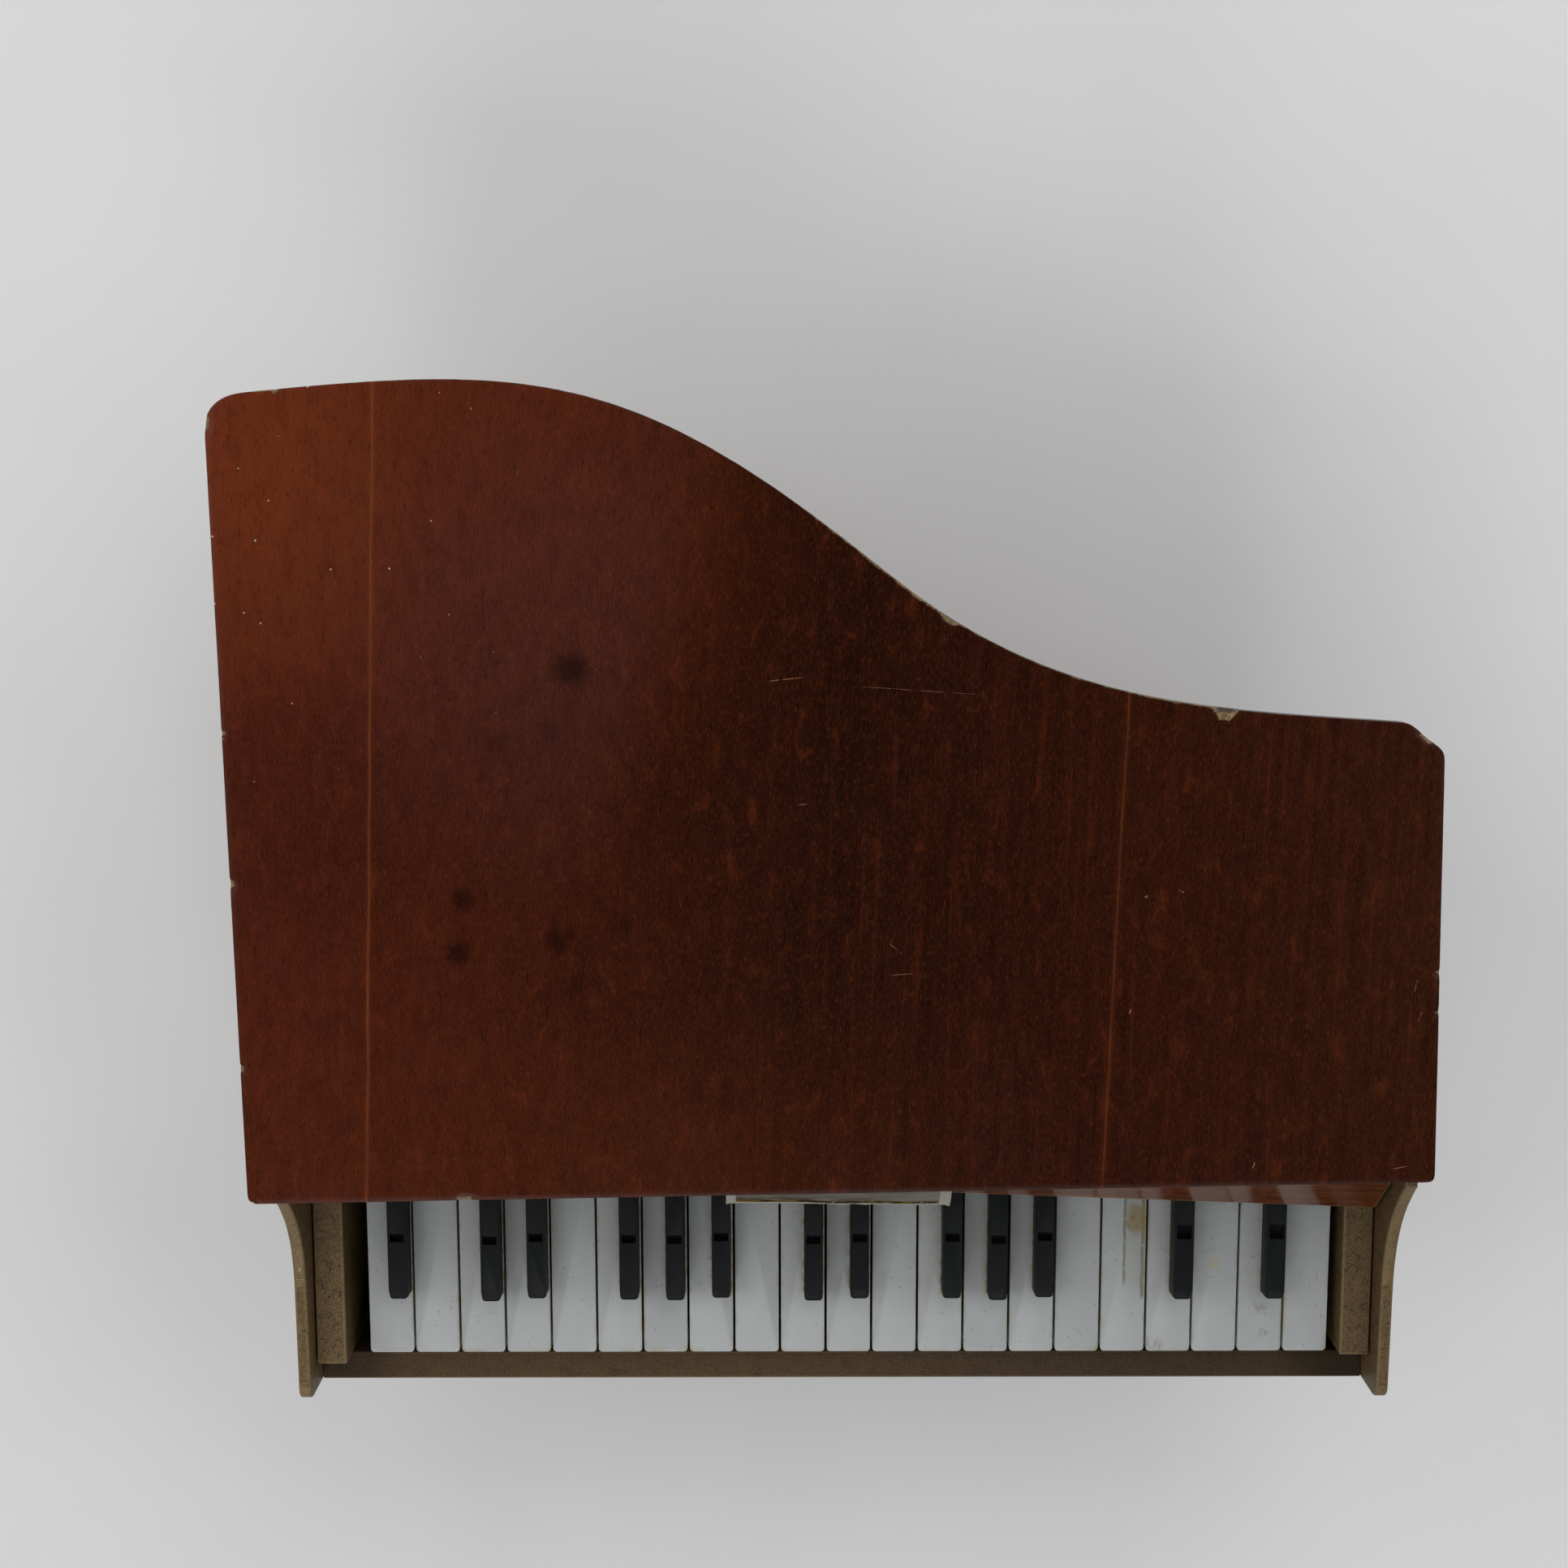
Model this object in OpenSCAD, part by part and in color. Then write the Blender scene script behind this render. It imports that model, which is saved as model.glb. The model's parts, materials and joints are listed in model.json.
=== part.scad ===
// Toy grand piano: a small hardboard case with 21 sprung keys that strike steel tone plates.
// Millimetres. X runs along the keyboard (bass is -X), the player sits at -Y, Z is up,
// and the origin is on the floor below the middle of the overall bounding box.

/* [Lid] */
// width of the lid across the keyboard
lid_w = 235; // [180:1:320]
// length of the lid along its bass edge
lid_len = 160.8; // [130:1:220]
// length of the lid along its treble edge
lid_side = 92.8; // [70:1:130]
// thickness of the veneered lid board
lid_t = 3; // [2:0.5:6]
// angle by which the lid was glued on crooked
lid_skew = 1; // [-3:0.1:3]
// sideways offset of the lid towards the bass
lid_shift = -1.1; // [-3:0.1:3]
// overhang of the lid beyond the case sides
overhang = 3.45; // [0:0.1:8]

/* [Case] */
// overall height from floor to lid top
total_h = 106; // [80:1:160]
// length of the legs below the bottom board
leg_h = 55; // [20:1:90]
// thickness of the hardboard panels
board_t = 2.5; // [2:0.1:6]
// distance the arms reach in front of the lid
arm_len = 51.2; // [40:1:70]
// depth of the low arm top below the lid top
arm_drop = 17; // [10:0.5:25]
// radius of the arm tip corner
arm_tip_r = 3; // [1:0.5:8]
// thickness of the key slip in front of the keys
slip_t = 6; // [3:0.5:10]

/* [Keys] */
// number of white keys
key_n = 21; // [21:1:21]
// spacing from one white key to the next
key_pitch = 9.7; // [8:0.1:12]
// gap between two white keys
key_gap = 0.5; // [0.3:0.05:1]
// distance of the white key fronts behind the arm tips
key_front = 7.5; // [6.5:0.1:12]
// offset of the keyboard middle from the case middle
key_shift = 1.25; // [-2:0.1:2]
// angle a key turns when it is pressed fully
key_travel = 3.4; // [1:0.1:4]
// width of a black key
black_w = 3.9; // [3:0.1:5]
// height of a black key above the white keys
black_h = 5.5; // [3:0.5:6]
// distance of the black key fronts behind the white key fronts
black_set = 13; // [8:0.5:16]

/* [Fallboard] */
// lean of the fallboard back from the vertical
fall_lean = 42; // [20:1:55]
// middle of the fallboard's lower edge behind the arm tips
fall_y = 45.6; // [42:0.1:50]
// skew of the fallboard against the keyboard
fall_skew = -2.2; // [-4:0.1:4]

/* [Hidden] */
$fn = 48;
eps = 0.01;
// ---- levels above the floor
bed_z = leg_h + board_t;                 // upper face of the bottom board
lid_z = total_h - lid_t;                 // underside of the lid
arm_z = total_h - arm_drop;              // low top edge of the arms
block_z = total_h - 23;                  // key block tops
white_z = total_h - 26;                  // white key tops at rest
block_w = 6.2;                           // width of the key blocks
slip_z = total_h - 29.7;                 // key slip top
fall_z = white_z + black_h + 1.3;        // lower edge of the fallboard
// ---- plan sizes, measured from the case middle and the arm tips
case_x = lid_w / 2 - overhang;           // outer face of each side
in_x = case_x - board_t;                 // inner face of each side
corner_r = 7;                            // size of the worn lid corners
cut_slack = 2.2;                         // the bass arm was sawn fuller by this much
spine_y = arm_len + lid_len - 12;        // rear end of the bass side
treble_y = arm_len + lid_side - 9;       // rear end of the treble side
// ---- keys
head_w = key_pitch - key_gap;            // width of a white key
head_h = 11;                             // height of the white key moulding
key_r = 0.8;                             // rounded front corners of a white key
head_len = 47;                           // length of the full-width part
wall = 1.2;                              // wall of the hollow moulding
lever_w = 5;                             // width of the lever behind the key
lever_h = 9;                             // height of the lever
pivot_y = 60;                            // pivot rod behind the arm tips
pivot_z = white_z - 10;                  // pivot rod above the floor
lever_z = pivot_z - 4;                   // underside of the lever
tail_y = 96;                             // rear end of the lever
hammer_y = 93;                           // middle of the hammer head
hammer_d = 4;
rod_d = 2;
tooth_t = 1.6;                           // comb tooth beside the levers
key_fit = 0.05;                          // radial running clearance on the rod
keys_x0 = key_shift - key_n * key_pitch / 2;
slot_l = [1.8, 3.1];                     // recess moulded in each black key, along Y
slot_y = [14, 15.4];                     // recess behind the front; two keys have the long one
slot_w = 3;                              // recess moulded in each black key, along X
// ---- tone plates
plate_z = white_z + 4;                   // underside of the plates
plate_y = 90;                            // front ends of the plates
plate_w = 7.5;
plate_t = 1.5;
plate_l0 = 80;                           // longest plate, bass end
plate_l1 = 43;                           // shortest plate, treble end
node_f = 0.224;                          // vibration node as a share of plate length
rail_w = 5;
felt_t = 1.2;
pin_d = 1.6;
pin_head_d = 3.4;
pin_head_h = 0.8;
// ---- fasteners
screw_d = 2.9;
screw_head_d = 5.8;
screw_len = 8.5;
screw_head_h = 1.6;
bore_fit = 0.05;                         // radial clearance of fixed screws and pins
stud_d = 5;
stud_up = 8;                             // stud above the lower face of the bottom board
stud_down = 14;                          // stud inside the leg
leg_xy = [[-94, 30], [94, 30], [-68, 178]];
leg_top_r = 10;
block_h = 6;                             // glue block height
// ---- key bed rails, measured from the arm tips
stop_y = [10, 17];                       // front rail that stops a pressed key
rest_y = [84, 90];                       // rear rail that carries the resting tails
stop_z = white_z - head_h - 3.05;        // top of the front felt
rest_z = lever_z - key_fit;              // top of the rear felt
rail_x = in_x - 1;

// node to build on its own, or all of them

// ---- curves
// cubic curve point and its direction
function bz(p, t) = pow(1-t,3)*p[0] + 3*t*pow(1-t,2)*p[1] + 3*t*t*(1-t)*p[2] + pow(t,3)*p[3];
function bd(p, t) = 3*pow(1-t,2)*(p[1]-p[0]) + 6*t*(1-t)*(p[2]-p[1]) + 3*t*t*(p[3]-p[2]);
// the same point moved inwards by d, for a curve that runs clockwise
function bo(p, t, d) = let(v = bd(p, t)) bz(p, t) + d / norm(v) * [v[1], -v[0]];
function run(p, d, n) = [for (i = [1:n]) bo(p, i/n, d)];
// tail corner, tail sweep and waist of the plan, from the lid's front middle
corner_c = [[-lid_w/2, lid_len-9], [-lid_w/2, lid_len-5.4], [-lid_w/2+3, lid_len-2.9],
            [-lid_w/2+corner_r, lid_len-2.6]];
sweep_c = [[-lid_w/2+corner_r, lid_len-2.6], [-0.229*lid_w, lid_len+2.1],
           [-0.153*lid_w, lid_len+0.3], [0.045*lid_w, lid_len-38.5]];
waist_c = [[0.045*lid_w, lid_len-38.5], [0.185*lid_w, lid_side+2],
           [0.316*lid_w, lid_side+2.1], [lid_w/2-corner_r, lid_side-1.2]];
// whole rear outline moved inwards by d, from the bass edge to the treble edge
function rear(d) = concat(run(corner_c, d, 6), run(sweep_c, d, 18), run(waist_c, d, 16));
// rear outline of the case in case coordinates
function case_rear(d) = [for (p = rear(d)) [p[0], p[1] + arm_len]];

// lid outline from the lid's front middle, and the middle of the overall bounding box
lid_pts = concat([[-lid_w/2, 0], [-lid_w/2, lid_len-9]], rear(0),
    [[lid_w/2, lid_side - corner_r], [lid_w/2, 0]]);
turned = [for (p = lid_pts) [lid_shift + p[0]*cos(lid_skew) - p[1]*sin(lid_skew),
    p[0]*sin(lid_skew) + p[1]*cos(lid_skew) + arm_len]];
mid_x = (min([for (p = turned) p[0]]) + max([for (p = turned) p[0]])) / 2;
mid_y = max([for (p = turned) p[1]]) / 2;

function key_x(i) = keys_x0 + (i + 0.5) * key_pitch;      // middle of white key i
function plate_l(i) = plate_l0 + (plate_l1 - plate_l0) * i / (key_n - 1);
// white keys that carry a black key: all but the 2nd and 5th of each seven, and one lost
has_black = [for (i = [0:key_n-1]) if (i%7 != 1 && i%7 != 4 && i != 16 && i < 20) i];
// black keys drift from the edge of their white key towards the treble end
function black_in(i) = 0.1 + 0.035 * i;
// small unevenness of the glued black keys along Y
function black_dy(j) = 0.35 * sin(j * 137);
side_xy = [[-in_x + 6, 120], [-in_x + 6, 172], [in_x - 6, 112]];
screw_xy = concat(
    [for (s = [-1, 1], y = [13.5, 87]) [s * 60, y]],
    [for (x = [-70, 0, 70]) [x + key_pitch/2 + key_shift, pivot_y + 4]],
    [[-99, plate_y + node_f*plate_l0], [96, plate_y + node_f*plate_l1 + 0.4],
     [-99, plate_y + (1-node_f)*plate_l0 - 0.6], [96, plate_y + (1-node_f)*plate_l1 + 0.4]],
    side_xy);

// puts case coordinates on the floor origin
module placed() translate([-mid_x, -mid_y, 0]) children();
module box(x, y, z) translate([x[0], y[0], z[0]]) cube([x[1]-x[0], y[1]-y[0], z[1]-z[0]]);

module lid() color("sienna") placed()
    translate([lid_shift, arm_len, lid_z]) rotate(lid_skew) linear_extrude(lid_t) polygon(lid_pts);

module lid_battens() color("burlywood") placed() {
    box([-in_x, -in_x + 6], [70, 188], [lid_z - 6, lid_z]);
    box([in_x - 6, in_x], [70, 128], [lid_z - 6, lid_z]);
}

// side panel with the S-shaped arm, standing on the bottom board; the curve starts at curve_y
module side(x, y_end, curve_y) color("peru") placed()
    translate([x, 0, 0]) rotate([90, 0, 90]) linear_extrude(board_t) polygon(concat(
        [[0, bed_z], [y_end, bed_z], [y_end, lid_z], [curve_y, lid_z]],
        [for (i = [1:16]) bz([[curve_y, lid_z], [curve_y - 7, lid_z - 8],
            [arm_len - 15, arm_z + 0.2], [arm_len - 28, arm_z]], i/16)],
        [for (a = [0:15:90]) [arm_tip_r*(1 - sin(a)), arm_z - 0.8 - arm_tip_r*(1 - cos(a))]]));
module side_left() side(-case_x, spine_y, arm_len - cut_slack);
module side_right() side(in_x, treble_y, arm_len);

// one sheet bent from the bass corner round the tail to the treble side
module bent_side() color("peru") placed() {
    d = overhang + board_t;
    inner = [for (p = concat(run(sweep_c, d, 18), run(waist_c, d, 16))) [p[0], p[1] + arm_len]];
    translate([0, 0, bed_z]) linear_extrude(lid_z - bed_z) polygon(concat(
        [[-case_x, spine_y]], case_rear(overhang), [[case_x, treble_y], [in_x, treble_y]],
        [for (i = [len(inner)-1:-1:0]) inner[i]], [[-in_x, spine_y]]));
}

// clearance holes for the screws and studs that pass through or into the wooden pieces
module fastener_bores() {
    for (p = screw_xy) translate([p[0], p[1], leg_h]) {
        translate([0, 0, -eps]) cylinder(h = screw_len + 0.2, d = screw_d + 2*bore_fit);
        translate([0, 0, -eps]) cylinder(h = screw_head_h + bore_fit,
            d1 = screw_head_d + 2*bore_fit, d2 = screw_d + 2*bore_fit);
    }
    for (p = leg_xy) translate([p[0], p[1], leg_h - stud_down - 1])
        cylinder(h = stud_down + stud_up + 1.2, d = stud_d + 2*bore_fit);
}

module bottom_board() color("tan") placed() difference() {
    translate([0, 0, leg_h]) linear_extrude(board_t) polygon(concat([[-case_x, 0],
        [-case_x, spine_y]], case_rear(overhang), [[case_x, treble_y], [case_x, 0]]));
    fastener_bores();
}

module key_slip() color("saddlebrown") placed() box([-in_x, in_x], [0, slip_t], [bed_z, slip_z]);

// block that fills one end of the keyboard, behind the key slip
module key_block(x0, y0) color("saddlebrown") placed()
    box([x0, x0 + block_w], [y0, pivot_y - 8], [bed_z, block_z]);
module key_block_left() key_block(-in_x + 0.4, slip_t + 0.1);
module key_block_right() key_block(in_x - 0.4 - block_w, slip_t + 1.8);

// leaning board; its upper and lower edges are cut level
module fallboard() color("firebrick") fall_place() fall_slab(0, board_t / cos(fall_lean), 221);
module fall_place() placed() translate([0, fall_y, fall_z]) rotate(fall_skew) children();
module fall_slab(y0, y1, w) translate([-w/2, 0, 0]) rotate([90, 0, 90]) linear_extrude(w)
    polygon([for (p = [[y0, 0], [y0, lid_z - fall_z], [y1, lid_z - fall_z], [y1, 0]])
        [p[0] + p[1]*tan(fall_lean), p[1]]]);

// blank paper label glued to the front of the fallboard
module fallboard_label() color("ivory") fall_place()
    translate([-1.7, 0, 0]) rotate([-fall_lean, 0, 0])
        translate([-22.3, -0.3, 1.6]) cube([44.6, 0.28, 14]);

module key_rails() color("burlywood") placed() difference() {
    union() {
        box([-rail_x + 8, rail_x - 8], stop_y, [bed_z, stop_z - felt_t]);
        box([-rail_x + 8, rail_x - 8], rest_y, [bed_z, rest_z - felt_t]);
    }
    fastener_bores();
}
module key_felts() color("darkgreen") placed() {
    box([-rail_x + 8, rail_x - 8], stop_y, [stop_z - felt_t, stop_z]);
    box([-rail_x + 8, rail_x - 8], rest_y, [rest_z - felt_t, rest_z]);
}

// comb whose teeth hold the pivot rod between the levers
module pivot_comb() color("gainsboro") placed() difference() {
    union() {
        box([keys_x0 - 2, keys_x0 + key_n*key_pitch + 2], [pivot_y - 6, pivot_y + 8],
            [bed_z, bed_z + 4]);
        for (i = [0:key_n]) translate([key_x(i) - key_pitch/2 - tooth_t/2, pivot_y - 3, bed_z])
            cube([tooth_t, 6, pivot_z + 4 - bed_z]);
    }
    rod_bore(bore_fit);
    fastener_bores();
}
module rod_bore(fit) translate([-in_x, pivot_y, pivot_z]) rotate([0, 90, 0])
    cylinder(h = 2*in_x, d = rod_d + 2*fit);
module pivot_rod() color("silver") placed() translate([keys_x0 - 3, pivot_y, pivot_z])
    rotate([0, 90, 0]) cylinder(h = key_n*key_pitch + 6, d = rod_d);

// strip of spring steel with one finger below each key, drawn pressed down
module return_springs() color("lightgray") placed() {
    y0 = pivot_y - 8; y1 = pivot_y - 23;
    top = lever_z - (pivot_y - y1) * tan(key_travel) - 0.15;
    box([keys_x0, keys_x0 + key_n*key_pitch], [y0 - 4, y0], [bed_z, bed_z + 0.4]);
    for (i = [0:key_n-1]) translate([key_x(i) - 1.5, 0, 0]) rotate([90, 0, 90])
        linear_extrude(3) polygon([[y0 - 3, bed_z], [y0 - 3, bed_z + 0.4], [y1 + 1, top],
            [y1 - 1, top], [y1 - 1, top - 0.4], [y1 + 1, top - 0.4]]);
}

// white key: hollow moulding, lever with pivot bore, and hammer head on the tail
module white_key(n) color("ivory") placed() translate([key_x(n - 1), 0, 0]) {
    difference() {
        union() {
            translate([0, key_front, white_z - head_h]) linear_extrude(head_h) polygon(concat(
                [[head_w/2, head_len], [-head_w/2, head_len]],
                [for (a = [180:15:270]) [-head_w/2 + key_r*(1 + cos(a)), key_r*(1 + sin(a))]],
                [for (a = [270:15:360]) [head_w/2 - key_r*(1 - cos(a)), key_r*(1 + sin(a))]]));
            box([-lever_w/2, lever_w/2], [key_front + head_len - 4, tail_y],
                [lever_z, lever_z + lever_h]);
        }
        box([-head_w/2 + wall, head_w/2 - wall], [key_front + 1.6, key_front + head_len - 10],
            [white_z - head_h - 1, white_z - 1.8]);
        rod_bore(key_fit);
    }
    translate([0, hammer_y, lever_z + lever_h - eps])
        cylinder(h = plate_z - 2.2 - lever_z - lever_h, d = hammer_d);
}

// black key: plain bar glued near the treble edge of a white key
module black_key(j) color("black") placed() {
    y0 = key_front + black_set + black_dy(j);
    y1 = key_front + head_len - 4;
    k = j > 11 ? 1 : 0;
    translate([key_x(has_black[j-1]) + head_w/2 - black_in(has_black[j-1]) - black_w, 0, white_z])
    difference() {
        rotate([90, 0, 90]) linear_extrude(black_w) polygon([[y0, 0], [y1, 0], [y1, black_h],
            [y0 + 1.6, black_h], [y0 + 0.5, black_h - 0.7]]);
        translate([(black_w - slot_w)/2, y0 + slot_y[k] - slot_l[k]/2, black_h - 1.2])
            cube([slot_w, slot_l[k], 2]);
    }
}

// ---- tone plates on their two skewed rails
module on_rail(f) {
    a = [key_x(0), plate_y + f*plate_l(0)];
    b = [key_x(key_n-1), plate_y + f*plate_l(key_n-1)];
    translate([a[0], a[1], 0]) rotate(atan2(b[1]-a[1], b[0]-a[0]))
        translate([-6, -rail_w/2, 0]) children();
}
rail_l = (key_n - 1) * key_pitch + 12;
module tone_rails() color("burlywood") placed() difference() {
    for (f = [node_f, 1 - node_f]) on_rail(f)
        translate([0, 0, bed_z]) cube([rail_l, rail_w, plate_z - felt_t - bed_z]);
    fastener_bores();
    pin_holes();
}
module tone_felts() color("darkred") placed() difference() {
    for (f = [node_f, 1 - node_f]) on_rail(f)
        translate([0, 0, plate_z - felt_t]) cube([rail_l, rail_w, felt_t]);
    pin_holes();
}
module pin_spots() for (i = [0:key_n-1], f = [node_f, 1 - node_f])
    translate([key_x(i), plate_y + f*plate_l(i), 0]) children();
module pin_holes() pin_spots() translate([0, 0, plate_z - 9])
    cylinder(h = 12, d = pin_d + 2*bore_fit, $fn = 24);
module tone_plates() color("lightsteelblue") placed() difference() {
    for (i = [0:key_n-1]) translate([key_x(i) - plate_w/2, plate_y, plate_z])
        cube([plate_w, plate_l(i), plate_t]);
    pin_spots() translate([0, 0, plate_z - 1]) cylinder(h = plate_t + 2, d = pin_d + 0.8, $fn = 24);
}
module tone_pins() color("gray") placed() pin_spots() {
    translate([0, 0, plate_z - 8]) cylinder(h = 8 + plate_t + 0.5, d = pin_d, $fn = 24);
    translate([0, 0, plate_z + plate_t + 0.4]) cylinder(h = pin_head_h, d = pin_head_d, $fn = 24);
}

// turned leg with a collar, a taper and a small bun foot
module leg(k) color("saddlebrown") placed() difference() {
    translate([leg_xy[k][0], leg_xy[k][1], 0]) rotate_extrude() polygon(concat(
        [[0, 0], [4.4, 0]], [for (a = [-60:15:60]) [4.2 + 1.8*cos(a), 3 + 3*sin(a)]],
        [[4.4, 6.6], [leg_top_r - 2.6, leg_h - 12], [leg_top_r - 2.6, leg_h - 9]],
        [for (a = [-90:30:90]) [leg_top_r - 1.6 + 1.6*cos(a), leg_h - 5.5 + 2.5*sin(a)]],
        [[leg_top_r - 2, leg_h - 2], [leg_top_r - 2, leg_h], [0, leg_h]]));
    fastener_bores();
}
module leg_front_left() leg(0);
module leg_front_right() leg(1);
module leg_tail() leg(2);
module leg_studs() color("silver") placed() for (p = leg_xy)
    translate([p[0], p[1], leg_h - stud_down]) cylinder(h = stud_down + stud_up, d = stud_d);

module glue_blocks() color("burlywood") placed() difference() {
    union() {
        for (p = leg_xy) translate([p[0] - 9, p[1] - 6.5, bed_z]) cube([18, 13, block_h]);
        for (p = side_xy) translate([p[0] - 6, p[1] - 6, bed_z]) cube([12, 12, 14]);
    }
    fastener_bores();
}

// countersunk screws driven up through the bottom board
module base_screws() color("goldenrod") placed() for (p = screw_xy)
    translate([p[0], p[1], leg_h]) difference() {
        union() {
            cylinder(h = screw_len, d = screw_d);
            cylinder(h = screw_head_h, d1 = screw_head_d, d2 = screw_d);
        }
        translate([-2, -0.35, -1]) cube([4, 0.7, 1.8]);
    }

lid();
lid_battens();
side_left();
side_right();
bent_side();
bottom_board();
key_slip();
key_block_left();
key_block_right();
fallboard();
fallboard_label();
key_rails();
key_felts();
pivot_comb();
pivot_rod();
return_springs();
tone_rails();
tone_felts();
tone_plates();
tone_pins();
leg_front_left();
leg_front_right();
leg_tail();
leg_studs();
glue_blocks();
base_screws();
white_key(1);  // white_key_01
white_key(2);  // white_key_02
white_key(3);  // white_key_03
white_key(4);  // white_key_04
white_key(5);  // white_key_05
white_key(6);  // white_key_06
white_key(7);  // white_key_07
white_key(8);  // white_key_08
white_key(9);  // white_key_09
white_key(10);  // white_key_10
white_key(11);  // white_key_11
white_key(12);  // white_key_12
white_key(13);  // white_key_13
white_key(14);  // white_key_14
white_key(15);  // white_key_15
white_key(16);  // white_key_16
white_key(17);  // white_key_17
white_key(18);  // white_key_18
white_key(19);  // white_key_19
white_key(20);  // white_key_20
white_key(21);  // white_key_21
black_key(1);  // black_key_01
black_key(2);  // black_key_02
black_key(3);  // black_key_03
black_key(4);  // black_key_04
black_key(5);  // black_key_05
black_key(6);  // black_key_06
black_key(7);  // black_key_07
black_key(8);  // black_key_08
black_key(9);  // black_key_09
black_key(10);  // black_key_10
black_key(11);  // black_key_11
black_key(12);  // black_key_12
black_key(13);  // black_key_13
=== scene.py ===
"""Toy grand piano: looks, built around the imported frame. Lengths in the code are mm unless noted."""
import bpy, bmesh, json, math
from mathutils import Vector, Matrix, noise


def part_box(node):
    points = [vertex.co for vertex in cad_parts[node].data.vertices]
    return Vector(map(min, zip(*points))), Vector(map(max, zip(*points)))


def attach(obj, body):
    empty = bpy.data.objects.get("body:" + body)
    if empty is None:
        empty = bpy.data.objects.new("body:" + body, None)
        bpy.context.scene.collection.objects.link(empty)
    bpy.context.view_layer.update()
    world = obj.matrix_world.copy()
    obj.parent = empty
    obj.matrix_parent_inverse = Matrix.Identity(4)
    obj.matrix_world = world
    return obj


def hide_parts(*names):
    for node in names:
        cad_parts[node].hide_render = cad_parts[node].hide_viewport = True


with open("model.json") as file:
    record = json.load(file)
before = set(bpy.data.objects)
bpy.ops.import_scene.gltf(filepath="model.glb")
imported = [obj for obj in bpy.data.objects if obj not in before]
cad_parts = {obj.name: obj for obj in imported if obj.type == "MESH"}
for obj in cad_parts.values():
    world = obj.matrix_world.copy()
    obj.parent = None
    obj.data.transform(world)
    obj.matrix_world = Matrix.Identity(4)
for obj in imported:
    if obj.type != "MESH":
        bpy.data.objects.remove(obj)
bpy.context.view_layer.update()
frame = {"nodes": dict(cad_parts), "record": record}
MM = 0.001
scene = bpy.context.scene
scene.view_settings.view_transform = "Standard"


def box(node):
    """A node's box in mm."""
    lo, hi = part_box(node)
    return Vector(lo) * 1000, Vector(hi) * 1000


# case coordinates: x from the middle between the sides, y from the arm tips
LEFT, RIGHT = box("side_left"), box("side_right")
OX = (LEFT[0].x + RIGHT[1].x) / 2
OY = LEFT[0].y
TOP = box("lid")[1].z
WHITE_Z = box("black_key_01")[0].z           # the black keys stand on the white ones
PITCH = 9.7
KEY_W = box("white_key_01")[1].x - box("white_key_01")[0].x
KEY_FRONT = box("white_key_01")[0].y - OY
KEY_X0 = box("white_key_01")[0].x - OX
BLACK_W = 3.9
BLACK_SET = 13                          # black key fronts behind the white key fronts
BLACK_FRONT = KEY_FRONT + BLACK_SET
LOST_KEY = 16                           # white key, counted from 0, whose black key fell off
FALL_Z = box("fallboard")[0].z
LID_FRONT = 51.2
VENEER_AT = (-1.5, 52.0, 0)                # where the lid's marks are measured from
FALL_Y = 45.6
FALL_SKEW = math.radians(-2.2)
FALL_LEAN = math.radians(42)
LABEL_W, LABEL_H, LABEL_T = 46.0, 14.0, 0.16
LABEL_X = 24.2                          # bass end of the label from the fallboard's middle
LABEL_LIFT = 3.0
SKEW = math.radians(1)
GRAIN = math.radians(2)                 # the veneer runs askew on the lid
RIM_STEP = 0.8                          # spacing of points along the lid's rim


def case_pt(x, y, z):
    return Vector(((x + OX) * MM, (y + OY) * MM, z * MM))


# ---------------------------------------------------------------- camera
LENS = 48.6                             # focal length on a 36 mm sensor
CAM_X, CAM_Y, CAM_UP = -12.12, 189.1, 403.8   # case coordinates, and height above the lid
cam = bpy.data.objects.new("camera", bpy.data.cameras.new("camera"))
scene.collection.objects.link(cam)
cam.data.lens = LENS
cam.data.sensor_width = 36
cam.data.clip_start = 0.01
tilt, roll = math.radians(7.9), math.radians(-0.1)
cam.matrix_world = (Matrix.Translation(case_pt(CAM_X, CAM_Y, TOP + CAM_UP))
                    @ Matrix.Rotation(roll, 4, "Z") @ Matrix.Rotation(-tilt, 4, "X"))
scene.camera = cam


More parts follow.
